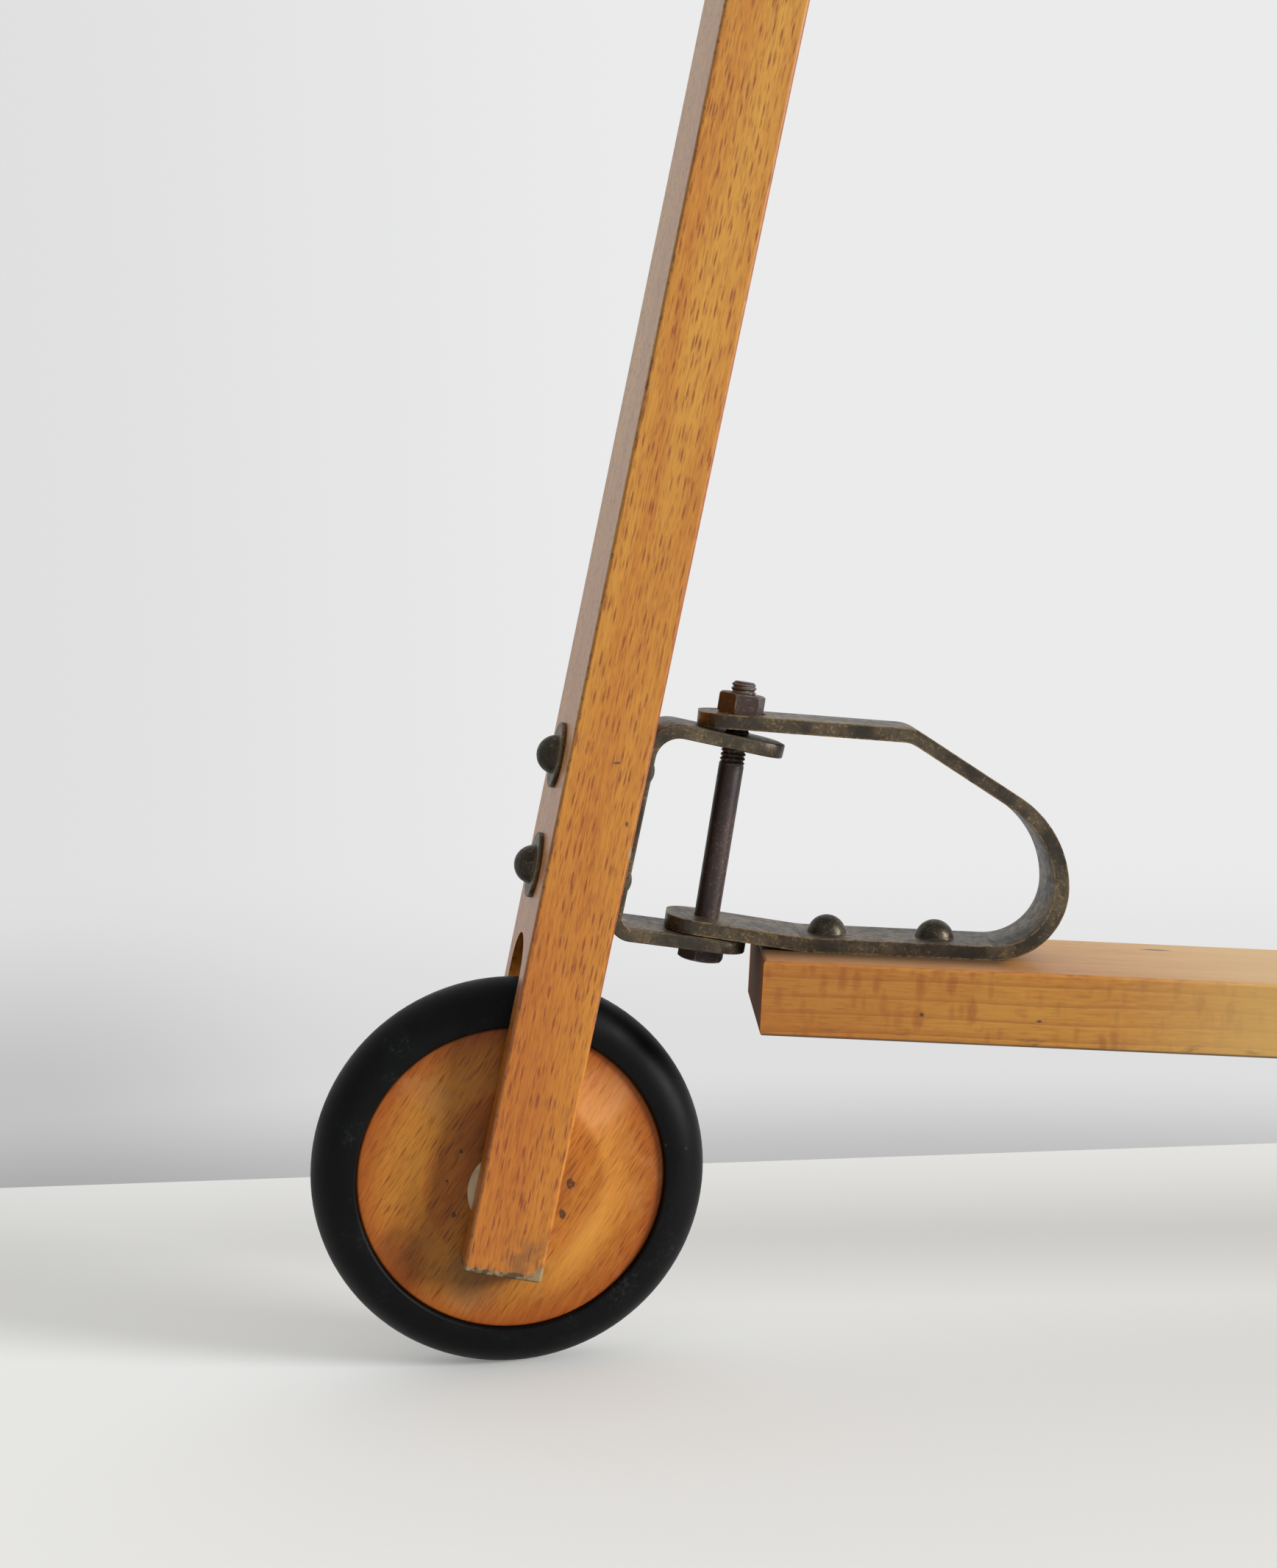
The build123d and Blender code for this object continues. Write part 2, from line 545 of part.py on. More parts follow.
def build():
    """Every piece of the scooter by name."""
    post_places = [(up, 0, 0) for up in POST_RIVETS_UP]
    deck_places = [(back, 0, STRAP_THICKNESS) for back in DECK_RIVETS_BACK]
    burr_places = [(back, 0, -DECK_THICKNESS - RIVET_WASHER_THICKNESS) for back in DECK_RIVETS_BACK]
    post_rivets = rivet_group(POST_FRONT, post_places, POST_RIVET_GRIP, True)
    post_washers = [POST_FRONT * (Pos(*place) * rivet_washer()) for place in post_places]
    deck_rivets = rivet_group(DECK_PLANE, deck_places, STRAP_THICKNESS + DECK_THICKNESS, False)
    deck_washers = [DECK_PLANE * (Pos(*place) * rivet_washer()) for place in burr_places]
    return {
        "steering_post": on_post(steering_post()),
        "handlebar": on_post(handlebar()),
        "handlebar_pin": on_post(bar_pin()),
        "handlebar_wedge": on_post(tenon_wedge()),
        "post_bracket": steered(HINGE_PLANE * post_bracket()),
        "post_rivets": steered(Part() + post_rivets),
        "post_rivet_washers": steered(Part() + post_washers),
        "front_axle": front_wheel_piece(axle(POST_WIDTH)),
        "front_axle_plug": front_wheel_piece(axle_plug(POST_WIDTH)),
        "front_spacers": front_wheel_piece(wheel_spacers()),
        "front_wheel_disc": front_wheel_piece(wheel_disc()),
        "front_tyre": front_wheel_piece(tyre()),
        "front_hub_bush": front_wheel_piece(hub_bush()),
        "deck_board": DECK_PLANE * deck_board(),
        "hinge_loop": HINGE_PLANE * hinge_loop(),
        "hinge_bolt": HINGE_PLANE * hinge_bolt(),
        "hinge_nut": HINGE_PLANE * hinge_nut(),
        "deck_rivets": Part() + deck_rivets,
        "deck_rivet_washers": Part() + deck_washers,
        "rear_axle": rear_wheel_piece(axle(DECK_WIDTH)),
        "rear_axle_plug": rear_wheel_piece(axle_plug(DECK_WIDTH)),
        "rear_spacers": rear_wheel_piece(wheel_spacers()),
        "rear_wheel_disc": rear_wheel_piece(wheel_disc()),
        "rear_tyre": rear_wheel_piece(tyre()),
        "rear_hub_bush": rear_wheel_piece(hub_bush()),
    }


os.makedirs("parts", exist_ok=True)
for name, piece in build().items():
    export_step(piece, f"parts/{name}.step")
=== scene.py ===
import json
import math

import bpy
from mathutils import Matrix, Vector


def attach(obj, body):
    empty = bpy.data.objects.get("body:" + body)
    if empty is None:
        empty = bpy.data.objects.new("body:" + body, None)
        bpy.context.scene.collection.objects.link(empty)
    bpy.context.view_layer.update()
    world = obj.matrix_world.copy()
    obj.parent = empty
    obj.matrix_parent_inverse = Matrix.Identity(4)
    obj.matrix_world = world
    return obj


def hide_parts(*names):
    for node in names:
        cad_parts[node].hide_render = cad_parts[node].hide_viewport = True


# A child's wooden kick scooter, seen from its left side: materials, turned discs, thread and studio.
# Lengths in metres, angles in degrees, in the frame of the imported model.

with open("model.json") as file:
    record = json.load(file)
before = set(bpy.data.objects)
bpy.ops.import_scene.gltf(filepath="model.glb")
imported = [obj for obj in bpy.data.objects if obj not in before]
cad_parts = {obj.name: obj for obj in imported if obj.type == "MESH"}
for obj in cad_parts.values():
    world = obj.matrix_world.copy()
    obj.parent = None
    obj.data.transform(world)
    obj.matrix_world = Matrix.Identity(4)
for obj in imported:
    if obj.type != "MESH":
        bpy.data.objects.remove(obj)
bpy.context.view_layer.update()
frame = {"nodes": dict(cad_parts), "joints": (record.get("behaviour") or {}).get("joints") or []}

# Camera of the photograph; the sensor is in millimetres
PHOTO_WIDTH = 1736
PHOTO_HEIGHT = 2131
FOCAL_PIXELS = 3000.0
SENSOR = 36.0
CLIP_START = 0.01
CAMERA_PLACE = Vector((-0.3335, -0.6969, 0.2636))
CAMERA_FORWARD = Vector((0.006666, 0.993670, -0.112138))
CAMERA_RIGHT = Vector((0.999401, -0.010429, -0.032995))

# Angles of the wooden pieces
POST_RAKE = 13.7
REST_STEER = 8.0
DECK_SLOPE = 4.656
DISC_GRAIN = 55.0

# Hinge bolt; the groove's half width is in pitches, and the thread's steps are rings in a pitch
THREAD_PITCH = 0.00141
THREAD_DEPTH = 0.00062
THREAD_LENGTH = 0.027
THREAD_FADE = 0.0016
GROOVE_HALF = 0.40
BOLT_TIP_CHAMFER = 0.001
BOLT_HEAD_HEIGHT = 0.0044
BOLT_HEAD_CHAMFER = 30.0
BOLT_FLATS = 0.0132
BOLT_RADIUS = 0.004
BOLT_SIDES = 72
THREAD_STEPS = 9

# Wheel discs: half thicknesses, the flat middle's radius, and the slope where it ends
DISC_HALF = 0.0115
DISC_FLAT = 0.0295
DISC_SLOPE = 12.0
RIM_HALF = 0.0095
RIM_ROUND = 0.001
RIB_HALF = 0.004
RIB_DEPTH = 0.004
DISC_SIDES = 180
CROWN_STEPS = 16
ROUND_STEPS = 4

# Rounded edges of the steel, and the angles from which an edge counts as sharp
STRAP_EDGE = 0.0005
NUT_EDGE = 0.0004
WASHER_EDGE = 0.0003
EDGE_STEPS = 2
EDGE_ANGLE = 40.0
SHARP_ANGLE = 35.0
WELD_GAP = 0.00001

# The hinge loop's seat on the deck
STRAP_HALF = 0.013
STRAP_SEAT = 0.074

# Marks seen in the photograph: places in the resting frame, and half sizes along X, Y and Z
POST_DENTS = (
    (Vector((-0.3353, -0.0283, 0.1948)), (0.0015, 0.0010, 0.0005)),
    (Vector((-0.3330, -0.0275, 0.1758)), (0.0006, 0.0010, 0.0010)),
)
POST_CHIP = (Vector((-0.3322, -0.0272, 0.1662)), (0.0009, 0.0012, 0.0022))
DECK_DENTS = (
    (Vector((-0.2443, -0.0310, 0.1141)), (0.0008, 0.0012, 0.0008)),
    (Vector((-0.2081, -0.0310, 0.1107)), (0.0010, 0.0012, 0.0005)),
)
DECK_SCAR = (Vector((-0.1600, 0.0195, 0.1218)), (0.0062, 0.0016, 0.003))

# Marks on the front disc: across and up from its hub, half size, and a patch's sRGB colour
DISC_DENTS = (
    (0.0185, -0.0025, 0.0026), (0.0155, -0.0124, 0.0022), (-0.0189, -0.0097, 0.0014),
    (-0.0205, 0.0010, 0.0012), (-0.0157, 0.0107, 0.0012),
)
DENT_NARROWING = 0.7
DISC_PATCHES = (
    # The first patch, pale at the upper right just past the crease, is worn varnish with a painted sheen
    (0.0290, 0.0240, 0.0120, (222, 156, 100)),
    (-0.0120, -0.0320, 0.0120, (132, 96, 62)),
    (-0.0360, -0.0200, 0.0080, (118, 66, 30)),
)

# A pale band of the discs' grain: its middle along and across the grain, and its half sizes
BAND_MIDDLE = (-0.005, -0.0304)
BAND_HALF = (0.034, 0.0085)

# Wear, tone and painted light of the discs: distances from the hub between which each kind comes or goes. The
# lighter ring past the crease is painted light, and the darker, redder rim is partly painted shade
CROWN_LIGHT_FROM = (0.0296, 0.0320)
CROWN_LIGHT_TO = (0.035, 0.043)
RIM_RED_AND_SHADE_FROM = (0.040, 0.050)
FADED_FROM = (0.026, 0.036)
DIRTY_TO = (0.015, 0.030)

# Wear of the post, and painted shade on its rear edge above the wheel: heights over the hub and over the
# foot, and distances in from its faces
POST_REDDENS = (-0.03, 0.28)
REAR_EDGE_SHADE_FROM = (0.040, 0.062)
SMUDGE_HEIGHT = (0.006, 0.020)
SMUDGE_FRONT = 0.006
SMUDGE_REAR = 0.004
REAR_EDGE_SHADE = (0.0004, 0.0011)
REAR_EDGE_SHADE_SIDE = (0.0008, 0.0020)
NICKED_EDGE = (0.0006, 0.0016)
SOLE_HEIGHT = (0.0026, 0.0036)
SOLE_RAGGED = 0.002
CORNER_HEIGHT = (0.004, 0.0065)
CORNER_SLOPE = 0.7

# Wear of the deck: distances behind its nose, heights over its bottom, and a darkening beside the strap that
# is grime and painted shadow
NOSE_FADE = (0.0, 0.12)
PALE_FROM = (0.09, 0.17)
STREAK_HEIGHT = (0.0008, 0.0042)
DARK_LINE = (0.0004, 0.0011)
STRAP_SHADE_WIDTH = 0.0175
STRAP_SHADE_FADE = 0.006

# Sizes of the grain of wood: along it, across the rays, and along the rays
DASH_SIZE = (0.0084, 0.00105, 0.030)
FLAKE_SIZE = (0.0050, 0.00085, 0.013)
SMALL_RAY = 0.6
GLINT_SIZE = (0.0060, 0.0005, 0.0009)
PATCH_SIZE = (0.16, 0.016, 0.020)
FIBRE_SIZE = (0.030, 0.0005, 0.0006)
MOTTLE_SIZE = (0.0018, 0.0006, 0.0030)
SWAY_SIZE = (0.20, 0.05, 0.05)
SWAY = 0.012
RING_WIDTH = 0.0056
DISC_STREAK_SIZE = (0.05, 0.006, 0.05)

# Sizes of other patterns, along X, Y and Z or the same all ways
DECK_STREAK_SIZE = (0.012, 0.006, 0.0025)
DRAWN_SIZE = (0.0004, 0.006, 0.0004)
PORE_SIZE = 0.0009
BLOTCH_SIZE = 0.007
NICK_SIZE = 0.0022
SMEAR_SIZE = 0.013
CHIP_SIZE = 0.0016
PATINA_SIZE = 0.014
PITTING_SIZE = 0.0022
GRIT_SIZE = 0.0009
WORN_EDGE = 0.0011
SCUFF_SIZE = 0.02
RUBBER_SIZE = 0.0012
DUST_SPACING = 0.009
SOIL_SIZE = 0.004

# Depths of the relief
WOOD_RELIEF = 0.00006
STEEL_RELIEF = 0.00010
DRAWN_RELIEF = 0.00002
RUBBER_RELIEF = 0.00008
PLASTIC_RELIEF = 0.00003

# Studio
WALL_LINE = 0.208
FLOOR_REACH = 60.0
FLOOR_COLOR = (0.70, 0.70, 0.69)
FLOOR_GLOW = (0.175, 0.175, 0.167)
FLOOR_BOUNCE = (0.30, 0.30, 0.295)
WALL_COLOR = (0.83, 0.83, 0.835)
# Painted shade on the glowing wall and background: darker to the left, low down and at the wall's foot
WALL_LEFT = 0.90
WALL_LOW = 0.885
WALL_LOW_LEFT = 0.72
WALL_FOOT = 0.68
ROOM_SHADE = 0.70
WALL_LIGHT = 0.80
ROOM_LEFT = 0.02
ROOM_RIGHT = 0.52
SKY_LIGHT = 0.52
KEY_POWER = 3.66
KEY_WIDTH = 17.0
KEY_FROM = Vector((5.38, -2.18, 1.56))

# Directions between which the wall's shade, and then the light, changes: parts of a unit vector
WALL_LEFT_TO = (-0.28, 0.05)
WALL_LOW_LEFT_TO = (-0.27, -0.12)
WALL_LOW_TO = (-0.235, -0.14)
WALL_FOOT_TO = (-0.285, -0.238)
ROOM_SHADE_TO = (-0.50, 0.50)
ROOM_LEFT_TO = (-0.8, 0.8)
ROOM_TO_WALL = (-0.35, 0.35)
SKY_FROM = (0.1, 0.8)


def joint(name):
    """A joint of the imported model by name."""
    return next(entry for entry in frame["joints"] if entry["name"] == name)


HINGE_POINT = Vector(joint("steering_hinge")["pos_m"])
HINGE_AXIS = Vector(joint("steering_hinge")["axis"]).normalized()
FRONT_HUB = Vector(joint("front_wheel_spin")["pos_m"])
FRONT_AXLE = Vector(joint("front_wheel_spin")["axis"]).normalized()
REAR_HUB = Vector(joint("rear_wheel_spin")["pos_m"])
REAR_AXLE = Vector(joint("rear_wheel_spin")["axis"]).normalized()
ACROSS = Vector((0, 1, 0))
UPWARD = Vector((0, 0, 1))


def steered(direction):
    """A direction of the straight-ahead scooter, turned to the resting steering angle."""
    return Matrix.Rotation(math.radians(REST_STEER), 3, HINGE_AXIS) @ direction


def leaning(angle):
    """Along and across a piece that leans back by an angle in the X-Z plane."""
    sine, cosine = math.sin(math.radians(angle)), math.cos(math.radians(angle))
    return Vector((sine, 0, cosine)), Vector((cosine, 0, -sine))


def offsets(node, origin):
    """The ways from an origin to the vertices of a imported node."""
    return [vertex.co - origin for vertex in frame["nodes"][node].data.vertices]


def reach(node, origin, axis):
    """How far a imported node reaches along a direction, from an origin: its least and its most."""
    along = [offset.dot(axis) for offset in offsets(node, origin)]
    return min(along), max(along)


# Shader building
class Shader:
    """The nodes of a material or a world, built one at a time."""

    def __init__(self, holder):
        holder.use_nodes = True
        self.holder = holder
        self.tree = holder.node_tree
        self.tree.nodes.clear()
        coordinates = self.add("ShaderNodeTexCoord").outputs
        self.place = coordinates["Object"]
        self.normal = coordinates["Normal"]
        self.direction = coordinates["Generated"]

    def add(self, kind, values=None, **settings):
        """A node, with its settings, and its inputs set or linked by name or number."""
        node = self.tree.nodes.new(kind)
        for key, value in settings.items():
            setattr(node, key, value)
        for key, value in (values or {}).items():
            if isinstance(value, bpy.types.NodeSocket):
                self.tree.links.new(value, node.inputs[key])
            else:
                node.inputs[key].default_value = value
        return node

    def math(self, operation, first, second=0.0):
        """A number from one or two numbers."""
        return self.add("ShaderNodeMath", {0: first, 1: second}, operation=operation).outputs[0]

    def times(self, first, *others):
        """The product of numbers."""
        for other in others:
            first = self.math("MULTIPLY", first, other)
        return first

    def most(self, first, *others):
        """The largest of some numbers."""
        for other in others:
            first = self.math("MAXIMUM", first, other)
        return first

    def vector(self, operation, *vectors, output="Vector"):
        """A vector, or a number, from one or two vectors."""
        return self.add("ShaderNodeVectorMath", dict(enumerate(vectors)), operation=operation).outputs[output]

    def along(self, vector, axis):
        """How far a vector reaches along a direction."""
        return self.vector("DOT_PRODUCT", vector, tuple(axis), output="Value")

    def facing(self, axis):
        """1 on faces that look along a direction, either way, and 0 on faces that lie in it."""
        return self.math("ABSOLUTE", self.along(self.normal, axis))

    def away(self, point):
        """The way here from a point."""
        return self.vector("SUBTRACT", self.place, tuple(point))

    def local(self, origin, axes):
        """Coordinates in metres from an origin along three directions, together and apart."""
        moved = self.away(origin)
        parts = [self.along(moved, axis) for axis in axes]
        return self.add("ShaderNodeCombineXYZ", dict(enumerate(parts))).outputs[0], parts

    def stretched(self, vector, sizes):
        """Coordinates counted in the given sizes."""
        return self.vector("MULTIPLY", vector, tuple(1 / size for size in sizes))

    def noise(self, vector, detail=3.0, rough=0.5, warp=0.0):
        """A smooth random pattern from 0 to 1, one feature per unit."""
        values = {"Vector": vector, "Scale": 1.0, "Detail": detail, "Roughness": rough, "Distortion": warp}
        return self.add("ShaderNodeTexNoise", values).outputs[0]

    def clouds(self, size, detail=3.0, rough=0.5):
        """A smooth random pattern from 0 to 1, with features of one size all ways."""
        return self.noise(self.stretched(self.place, [size] * 3), detail, rough)

    def cells(self, vector):
        """The distance to the nearest random point, and that point's random number."""
        node = self.add("ShaderNodeTexVoronoi", {"Vector": vector, "Scale": 1.0, "Randomness": 1.0})
        split = self.add("ShaderNodeSeparateColor", {0: node.outputs["Color"]})
        return node.outputs["Distance"], split.outputs[0]

    def ramp(self, value, low, high, to_low=0.0, to_high=1.0):
        """A value moved smoothly from one range to another."""
        values = {"Value": value, "From Min": low, "From Max": high, "To Min": to_low, "To Max": to_high}
        return self.add("ShaderNodeMapRange", values, interpolation_type="SMOOTHSTEP").outputs[0]

    def mix(self, share, first, second, blend="MIX"):
        """Two colours mixed by a share."""
        values = {"Fac": share, "Color1": first, "Color2": second}
        return self.add("ShaderNodeMixRGB", values, blend_type=blend).outputs[0]

    def spot(self, point, sizes):
        """1 round a point, falling to 0 just past the given distances from it along X, Y and Z."""
        far = self.vector("LENGTH", self.stretched(self.away(point), sizes), output="Value")
        return self.ramp(far, 0.5, 1.1, 1.0, 0.0)

    def edges(self, radius):
        """1 on the piece's sharp edges, 0 on its faces."""
        soft = self.add("ShaderNodeBevel", {"Radius": radius}, samples=6).outputs[0]
        sharp = self.add("ShaderNodeNewGeometry").outputs["Normal"]
        same = self.vector("DOT_PRODUCT", soft, sharp, output="Value")
        return self.ramp(same, 0.80, 0.985, 1.0, 0.0)

    def finish(self, values, height, depth, strength):
        """Close the material with a surface shader and a bump of a real depth."""
        bump = self.add("ShaderNodeBump", {"Height": height, "Distance": depth, "Strength": strength})
        surface = self.add("ShaderNodeBsdfPrincipled", {**values, "Normal": bump.outputs[0]})
        self.add("ShaderNodeOutputMaterial", {"Surface": surface.outputs[0]})
        return self.holder


def material_shader(name):
    """An empty material to fill with nodes."""
    return Shader(bpy.data.materials.new(name))


def tint(red, green, blue):
    """An sRGB colour of 0 to 255 as the linear colour that shaders take."""
    parts = [level / 255 for level in (red, green, blue)]
    linear = [part / 12.92 if part <= 0.04045 else ((part + 0.055) / 1.055) ** 2.4 for part in parts]
    return (*linear, 1.0)


# Colours of wood; tones are light, middle and dark
BEECH_TONES = (tint(222, 160, 58), tint(202, 128, 34), tint(138, 62, 16))
DECK_TONES = (tint(216, 156, 64), tint(198, 126, 40), tint(142, 66, 16))
DISC_TONES = (tint(210, 138, 52), tint(184, 105, 32), tint(116, 50, 14))
DOWEL_TONES = (tint(196, 140, 82), tint(172, 114, 60), tint(120, 72, 36))
POST_LOW = tint(236, 206, 168)
DECK_NOSE = tint(164, 78, 14)
DECK_PALE = tint(230, 188, 112)
# Soil on the deck's lower edges, also used as painted shadow beside the strap
DECK_SOIL_AND_SHADE = tint(88, 70, 52)
# Painted shade and painted reflection on the deck's top: darker and a little bluer
TOP_PAINTED_SHADE = tint(236, 240, 250)
DISC_BAND = tint(230, 162, 72)
DISC_CROWN_LIGHT = tint(230, 164, 66)
# Painted light: a lighter ring on the discs just past the crease
DISC_RIM_RED_AND_SHADE = tint(156, 70, 16)
# A redder rim on the discs, darker too as painted shade
DISC_FADED = tint(190, 134, 80)
DISC_DIRT = tint(96, 56, 30)
END_DARK = tint(62, 42, 28)
END_BROWN = tint(146, 92, 44)
END_PALE = tint(150, 104, 62)
WORN_PALE = tint(156, 134, 98)
WORN_DARK = tint(92, 72, 48)
GRIME = tint(104, 66, 36)
DENT = tint(64, 40, 30)


# Wood
def growth_rings(shader, wood, depth):
    """The dark late wood and the light early wood of growth rings, each from 0 to 1."""
    sway = shader.noise(shader.stretched(wood, SWAY_SIZE), detail=2.0)
    place = shader.math("ADD", depth, shader.times(sway, SWAY))
    ring = shader.math("FRACT", shader.math("DIVIDE", place, RING_WIDTH))
    return shader.ramp(ring, 0.0, 0.35, 1.0, 0.0), shader.ramp(ring, 0.80, 1.0)


def ray_flecks(shader, wood, ray_size):
    """Rays of two sizes, the larger ones ragged, from 0 to 1."""
    distance, chance = shader.cells(shader.stretched(wood, ray_size))
    mottle = shader.noise(shader.stretched(wood, MOTTLE_SIZE), detail=3.0)
    ragged = shader.math("ADD", distance, shader.times(mottle, 0.40))
    large = shader.times(shader.ramp(ragged, 0.32, 0.66, 1.0, 0.0), shader.ramp(chance, 0.0, 0.6, 0.25, 1.0))
    distance, chance = shader.cells(shader.stretched(wood, tuple(size * SMALL_RAY for size in ray_size)))
    small = shader.times(shader.ramp(distance, 0.10, 0.50, 0.6, 0.0), shader.ramp(chance, 0.30, 0.70))
    return shader.most(large, small)


def beech_colors(shader, origin, axes, tones, dashes, flakes, rings, ray_size=DASH_SIZE):
    """Beech colour, relief, fibres and place. The axes run along the grain, across and along the rays.

    The rays show as short dashes on the faces they run into, and as flakes on the faces they lie in,
    where the growth rings show as lines too. The three shares say how strongly.
    """
    light, middle, dark = tones
    wood, parts = shader.local(origin, axes)
    on_end = shader.facing(axes[2])
    on_side = shader.facing(axes[1])
    patch = shader.noise(shader.stretched(wood, PATCH_SIZE), detail=4.0, rough=0.55, warp=0.4)
    glint = shader.noise(shader.stretched(wood, GLINT_SIZE), detail=2.0)
    fibre = shader.noise(shader.stretched(wood, FIBRE_SIZE), detail=3.0, rough=0.6)
    late, early = growth_rings(shader, wood, parts[2])
    lined = shader.times(on_side, rings)
    flecked = shader.math("ADD", shader.times(on_end, dashes), shader.times(on_side, flakes))
    fleck = shader.times(ray_flecks(shader, wood, ray_size), flecked)
    color = shader.mix(shader.ramp(patch, 0.30, 0.72), middle, light)
    color = shader.mix(shader.ramp(glint, 0.50, 0.72, 0.0, 0.55), color, light)
    color = shader.mix(shader.ramp(glint, 0.28, 0.50, 0.32, 0.0), color, dark)
    color = shader.mix(shader.ramp(fibre, 0.42, 0.80, 0.0, 0.30), color, dark)
    color = shader.mix(shader.times(late, lined), color, dark)
    color = shader.mix(shader.times(early, lined), color, light)
    color = shader.mix(fleck, color, dark)
    height = shader.math("SUBTRACT", shader.times(fibre, 0.5), shader.times(fleck, 0.5))
    return color, height, fibre, parts


def end_grain(shader, color, axis, dark):
    """Darker, bare wood where the grain runs out of the surface: the colour, and where it is bare."""
    pores = shader.clouds(PORE_SIZE, detail=2.0)
    bare = shader.ramp(shader.facing(axis), 0.55, 0.95)
    share = shader.times(bare, shader.ramp(pores, 0.2, 0.8, 0.60, 0.98))
    return shader.mix(share, color, dark), bare


def marked(shader, color, marks, share, shade):
    """A colour with marks in a shade, each from a place and half sizes."""
    for point, sizes in marks:
        color = shader.mix(shader.times(shader.spot(point, sizes), share), color, shade)
    return color


def varnish(shader, color, height, fibre, bare, coat=0.45, sheen=0.5):
    """Close a wood material under a worn satin varnish, which is gone where the wood is bare."""
    values = {
        "Base Color": color,
        "Roughness": shader.most(shader.ramp(fibre, 0.2, 0.8, 0.42, 0.54), bare),
        "Coat Weight": shader.ramp(bare, 0.0, 1.0, coat, 0.0),
        "Coat Roughness": 0.28,
        "Specular IOR Level": sheen,
    }
    return shader.finish(values, height, WOOD_RELIEF, 0.6)


def post_wear_and_shade(shader, color, axes, parts):
    """Grime, a nicked edge, a bare foot, and painted shade on the rear edge above the wheel: the colour, and
    where it is bare.
    """
    foot, _ = reach("steering_post", FRONT_HUB, axes[0])
    front, rear = reach("steering_post", FRONT_HUB, axes[1])
    _, half = reach("steering_post", FRONT_HUB, axes[2])
    over_foot = shader.math("SUBTRACT", parts[0], foot)
    from_front = shader.math("SUBTRACT", parts[1], front)
    from_rear = shader.math("SUBTRACT", rear, parts[1])
    from_side = shader.math("SUBTRACT", half, shader.math("ABSOLUTE", parts[2]))
    blotch = shader.clouds(BLOTCH_SIZE, detail=5.0, rough=0.65)
    nick = shader.clouds(NICK_SIZE)
    smudge = shader.times(
        shader.ramp(blotch, 0.35, 0.62),
        shader.ramp(parts[1], front + SMUDGE_FRONT, rear - SMUDGE_REAR),
        shader.ramp(over_foot, *SMUDGE_HEIGHT, 0.70, 0.0),
    )
    color = shader.mix(smudge, color, GRIME)
    # Painted shade: the rear edge above the wheel darkened, where light would catch its rounding
    rear_edge_shade = shader.times(
        shader.ramp(from_rear, *REAR_EDGE_SHADE, 1.0, 0.0),
        shader.ramp(from_side, *REAR_EDGE_SHADE_SIDE, 1.0, 0.0),
        shader.ramp(nick, 0.3, 0.6, 0.50, 0.80),
        shader.ramp(parts[0], *REAR_EDGE_SHADE_FROM),
    )
    color = shader.mix(rear_edge_shade, color, BEECH_TONES[2])
    nicked = shader.times(
        shader.ramp(from_front, *NICKED_EDGE, 1.0, 0.0),
        shader.ramp(nick, 0.54, 0.64, 0.0, 0.6),
    )
    color = shader.mix(nicked, color, GRIME)
    sole = shader.math("ADD", over_foot, shader.times(nick, SOLE_RAGGED))
    sole = shader.ramp(sole, *SOLE_HEIGHT, 1.0, 0.0)
    corner = shader.math("ADD", over_foot, shader.times(from_rear, CORNER_SLOPE))
    corner = shader.ramp(corner, *CORNER_HEIGHT, 1.0, 0.0)
    worn = shader.most(sole, corner)
    color = shader.mix(worn, color, shader.mix(shader.ramp(nick, 0.42, 0.62), WORN_DARK, WORN_PALE))
    color = shader.mix(shader.times(corner, shader.ramp(blotch, 0.3, 0.5, 0.4, 0.9)), color, WORN_PALE)
    return color, worn


def post_beech():
    """The post: dashes on its sides, redder towards the foot, whose lower edge is worn bare."""
    shader = material_shader("post_beech")
    up, back = leaning(POST_RAKE)
    axes = [steered(up), steered(back), steered(ACROSS)]
    color, height, fibre, parts = beech_colors(
        shader, FRONT_HUB, axes, BEECH_TONES, dashes=0.85, flakes=0.08, rings=0.16,
    )
    color = shader.mix(shader.ramp(parts[0], *POST_REDDENS, 1.0, 0.0), color, POST_LOW, "MULTIPLY")
    color, bare = end_grain(shader, color, axes[0], END_DARK)
    color, worn = post_wear_and_shade(shader, color, axes, parts)
    color = marked(shader, color, POST_DENTS, 0.80, DENT)
    color = marked(shader, color, [POST_CHIP], 1.0, WORN_PALE)
    return varnish(shader, color, height, fibre, shader.most(bare, worn))


def bar_beech():
    """The turned handlebar, with its grain along it."""
    shader = material_shader("bar_beech")
    up, back = leaning(POST_RAKE)
    axes = [steered(ACROSS), steered(up), steered(back)]
    color, height, fibre, _ = beech_colors(
        shader, FRONT_HUB, axes, BEECH_TONES, dashes=0.75, flakes=0.30, rings=0.15,
    )
    color, bare = end_grain(shader, color, axes[0], END_BROWN)
    return varnish(shader, color, height, fibre, bare)


def deck_dirt_and_shade(shader, behind_nose, sideways, over_bottom):
    """Streaks and a line along the deck's lower edges, and grime with painted shadow beside the strap, from 0
    to 1.
    """
    streak = shader.noise(shader.stretched(shader.place, DECK_STREAK_SIZE), detail=5.0, rough=0.6)
    low = shader.ramp(over_bottom, *STREAK_HEIGHT, 1.0, 0.0)
    streaks = shader.times(low, shader.ramp(streak, 0.54, 0.72))
    line = shader.ramp(over_bottom, *DARK_LINE, 0.75, 0.0)
    # Painted shadow: the deck's top beside the strap darkened, as grime and as the strap's shadow
    strap_grime_and_shade = shader.times(
        shader.ramp(shader.math("ABSOLUTE", sideways), STRAP_HALF, STRAP_HALF + STRAP_SHADE_WIDTH, 0.90, 0.0),
        shader.ramp(behind_nose, STRAP_SEAT, STRAP_SEAT + STRAP_SHADE_FADE, 1.0, 0.0),
    )
    return shader.most(streaks, line, strap_grime_and_shade)


